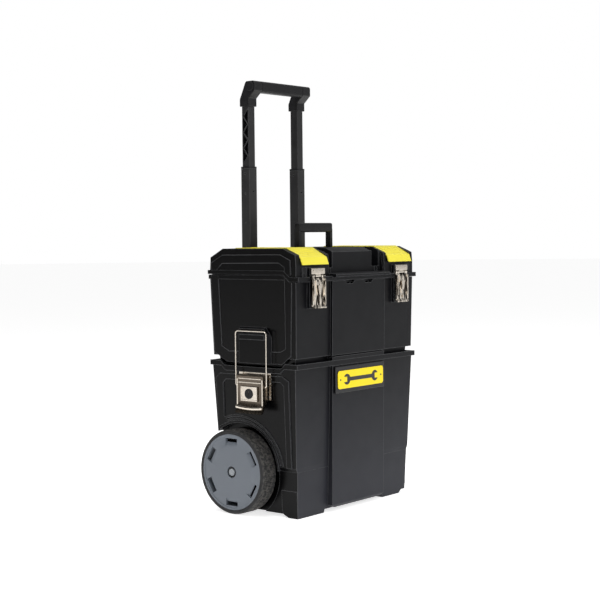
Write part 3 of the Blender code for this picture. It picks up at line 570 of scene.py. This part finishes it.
def build_side_latch_details():
    """Bright trims on the smoked levers: ridges, strips, a framed plate round the lock and a curled lip."""
    for name, s in SIDES:
        lo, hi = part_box("side_latch_lever_" + name)
        y, w = (lo.y + hi.y) / 2, hi.y - lo.y
        plane = s * LEVER_X
        lock = middle("lock_" + name)
        bm = bmesh.new()
        for k in range(2):
            at = facing((plane, y, hi.z - (9 + 9 * k) * MM), (0, 1, 0), (s, 0, 0))
            prism(rounded(0.86 * w, 2.4 * MM, 1.1 * MM, 4), at, 1.3 * MM, bm)
        for side in (-1, 1):
            edge = y + side * (w / 2 - 2.2 * MM)
            at = facing((plane, edge, (hi.z + lo.z) / 2 + 3 * MM), (0, 1, 0), (s, 0, 0))
            prism(rounded(3.2 * MM, 0.72 * (hi.z - lo.z), 1.2 * MM, 4), at, 1.2 * MM, bm)
        piece("latch_ridges_" + name, bm, "side_lever_" + name, PLATE, 0.3 * MM)
        at = facing((s * LOCK_X, lock.y, lock.z), (0, 1, 0), (s, 0, 0))
        bm = bmesh.new()
        for side in (-1, 1):
            prism(rounded(50 * MM, 3.4 * MM, 1.4 * MM, 4, 0, side * 15.3 * MM), at, 1.2 * MM, bm)
            prism(rounded(3.4 * MM, 27 * MM, 1.4 * MM, 4, side * 23.2 * MM, 0), at, 1.2 * MM, bm)
        piece("lock_frame_" + name, bm, "side_lever_" + name, PLATE, 0.3 * MM)
        plate = prism(rounded(43.5 * MM, 27.5 * MM, 1.4 * MM, 4), at, 0.5 * MM)
        piece("lock_plate_" + name, plate, "side_lever_" + name, PLATE, 0.15 * MM)
        bm = bmesh.new()
        steps, sides = 14, 10
        rows = []
        for k in range(steps + 1):
            t = 2 * k / steps - 1
            row = []
            for u, v in circle(1, sides):
                x, z = s * LIP_X + 2.4 * MM * u, lo.z + (12.4 + 3 * t * t) * MM + 4 * MM * v
                row.append(bm.verts.new((x, y + t * (w / 2 - 0.5 * MM), z)))
            rows.append(row)
        skin(bm, rows, around=False)
        bm.faces.new(rows[0])
        bm.faces.new(list(reversed(rows[-1])))
        piece("latch_lip_" + name, bm, "side_lever_" + name, PLATE, 0.2 * MM)
        lo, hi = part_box("side_latch_base_" + name)
        bm = bmesh.new()
        for side in (-1, 1):
            for z in (lo.z + 7 * MM, lo.z + 38 * MM):
                at = facing((s * BASE_X, y + side * 44.6 * MM, z), (0, 1, 0), (s, 0, 0))
                prism(circle(2.4 * MM), at, 1.1 * MM, bm)
        piece("base_rivets_" + name, bm, "bin", BAR, 0.4 * MM)


def build_hub_shade_rings():
    """A dark ring at the bottom of each hub's recess, round the cap, as painted shade in the recess."""
    steps = 48
    section = [(r * MM, x * MM) for r, x in ((8.9, 0.1), (8.9, 1.1), (13.1, 1.1), (13.1, 0.1))]
    for name, s in SIDES:
        lo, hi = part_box("wheel_hub_" + name)
        c = (lo + hi) / 2
        floor = (hi.x if s > 0 else lo.x) - s * 5.5 * MM
        bm = bmesh.new()
        rows = []
        for k in range(steps):
            a = 2 * pi * k / steps
            ring = [(floor + s * x, c.y + r * cos(a), c.z + r * sin(a)) for r, x in section]
            rows.append([bm.verts.new(at) for at in ring])
        skin(bm, rows)
        piece("hub_shade_ring_" + name, bm, "wheel_" + name, SATIN)


# ---- floor, light and camera ----

def build_stage():
    """A wide pale disc just below the box."""
    radius, top, thick = 30, -0.2 * MM, 5 * MM
    bm = prism(circle(radius, 96), Matrix.Translation((0, 0, top - thick)), thick)
    mesh = bpy.data.meshes.new("floor")
    bm.to_mesh(mesh)
    bm.free()
    floor = bpy.data.objects.new("floor", mesh)
    bpy.context.scene.collection.objects.link(floor)
    mat = bpy.data.materials.new("pale_floor")
    mat.use_nodes = True
    shader = mat.node_tree.nodes["Principled BSDF"]
    shader.inputs["Base Color"].default_value = (0.86, 0.86, 0.86, 1)
    shader.inputs["Emission Color"].default_value = (1, 1, 1, 1)
    shader.inputs["Emission Strength"].default_value = 0.72
    shader.inputs["Roughness"].default_value = 0.9
    shader.inputs["Specular IOR Level"].default_value = 0.1
    mesh.materials.append(mat)


def build_world():
    """White to the camera, and for the light a studio that is brighter to the front right."""
    world = bpy.data.worlds.new("studio")
    bpy.context.scene.world = world
    world.use_nodes = True
    tree = world.node_tree
    tree.nodes.clear()
    out = tree.nodes.new("ShaderNodeOutputWorld")
    place = tree.nodes.new("ShaderNodeTexCoord")
    dot = node(tree, "VectorMath", operation="DOT_PRODUCT")
    dot.inputs[1].default_value = (0.72, -0.6, 0.35)
    link(tree, place.outputs["Generated"], dot.inputs[0])
    strength = spread(tree, dot.outputs["Value"], 0.05, 0.42, -0.7, 0.8)
    studio = tree.nodes.new("ShaderNodeBackground")
    link(tree, strength, studio.inputs["Strength"])
    white = tree.nodes.new("ShaderNodeBackground")
    white.inputs["Strength"].default_value = 1.0
    for background in (studio, white):
        background.inputs["Color"].default_value = (1, 1, 1, 1)
    path = tree.nodes.new("ShaderNodeLightPath")
    mix = tree.nodes.new("ShaderNodeMixShader")
    link(tree, path.outputs["Is Camera Ray"], mix.inputs[0])
    link(tree, studio.outputs[0], mix.inputs[1])
    link(tree, white.outputs[0], mix.inputs[2])
    link(tree, mix.outputs[0], out.inputs["Surface"])


def area(name, place, target, size, power, colour=(1, 1, 1)):
    """A rectangular light at place that faces target."""
    light = bpy.data.lights.new(name, "AREA")
    light.shape = "RECTANGLE"
    light.size, light.size_y = size
    light.energy = power
    light.color = colour
    ob = bpy.data.objects.new(name, light)
    bpy.context.scene.collection.objects.link(ob)
    ob.location = place
    ob.rotation_euler = (Vector(target) - Vector(place)).to_track_quat("-Z", "Y").to_euler()


def build_lights():
    area("key", (0.9, -3.0, 2.6), (0, 0, 0.4), (2.4, 2.4), 36)
    area("top", (0, 0.2, 3.4), (0, 0, 0), (3, 3), 60)
    area("left_strip", (-2.3, 0.2, 2.3), (-0.2, 0, 0.5), (0.35, 2.2), 20)
    area("left_fill", (-2.6, -2.4, 0.9), (0, 0, 0.4), (1.2, 1.6), 13)
    area("warm", (-2.4, 0.9, 0.5), (-0.24, 0, 0.3), (0.3, 0.5), 0.8, (1.0, 0.7, 0.42))


def build_camera():
    """The viewpoint: 3.4 metres away, to the left of the front, a little above half height."""
    turn, down, roll = radians(50.959), radians(2.770), radians(-0.556)
    data = bpy.data.cameras.new("camera")
    data.sensor_width = 36
    data.lens = 82.485
    data.clip_end = 60
    ob = bpy.data.objects.new("camera", data)
    bpy.context.scene.collection.objects.link(ob)
    ahead = Vector((sin(turn) * cos(down), cos(turn) * cos(down), -sin(down)))
    right = Vector((cos(turn), -sin(turn), 0))
    up = right.cross(ahead)
    u = cos(roll) * right + sin(roll) * up
    v = -sin(roll) * right + cos(roll) * up
    m = Matrix((u, v, -ahead)).transposed().to_4x4()
    m.translation = Vector((-2.6594, -2.1092, 0.6613))
    ob.matrix_world = m
    bpy.context.scene.camera = ob


dress()
build_tyres()
build_badge()
build_cover_ribs()
build_tube_details()
build_front_latch_details()
build_side_latch_details()
build_hub_shade_rings()
build_stage()
build_world()
build_lights()
build_camera()
bpy.context.scene.view_settings.view_transform = "Standard"
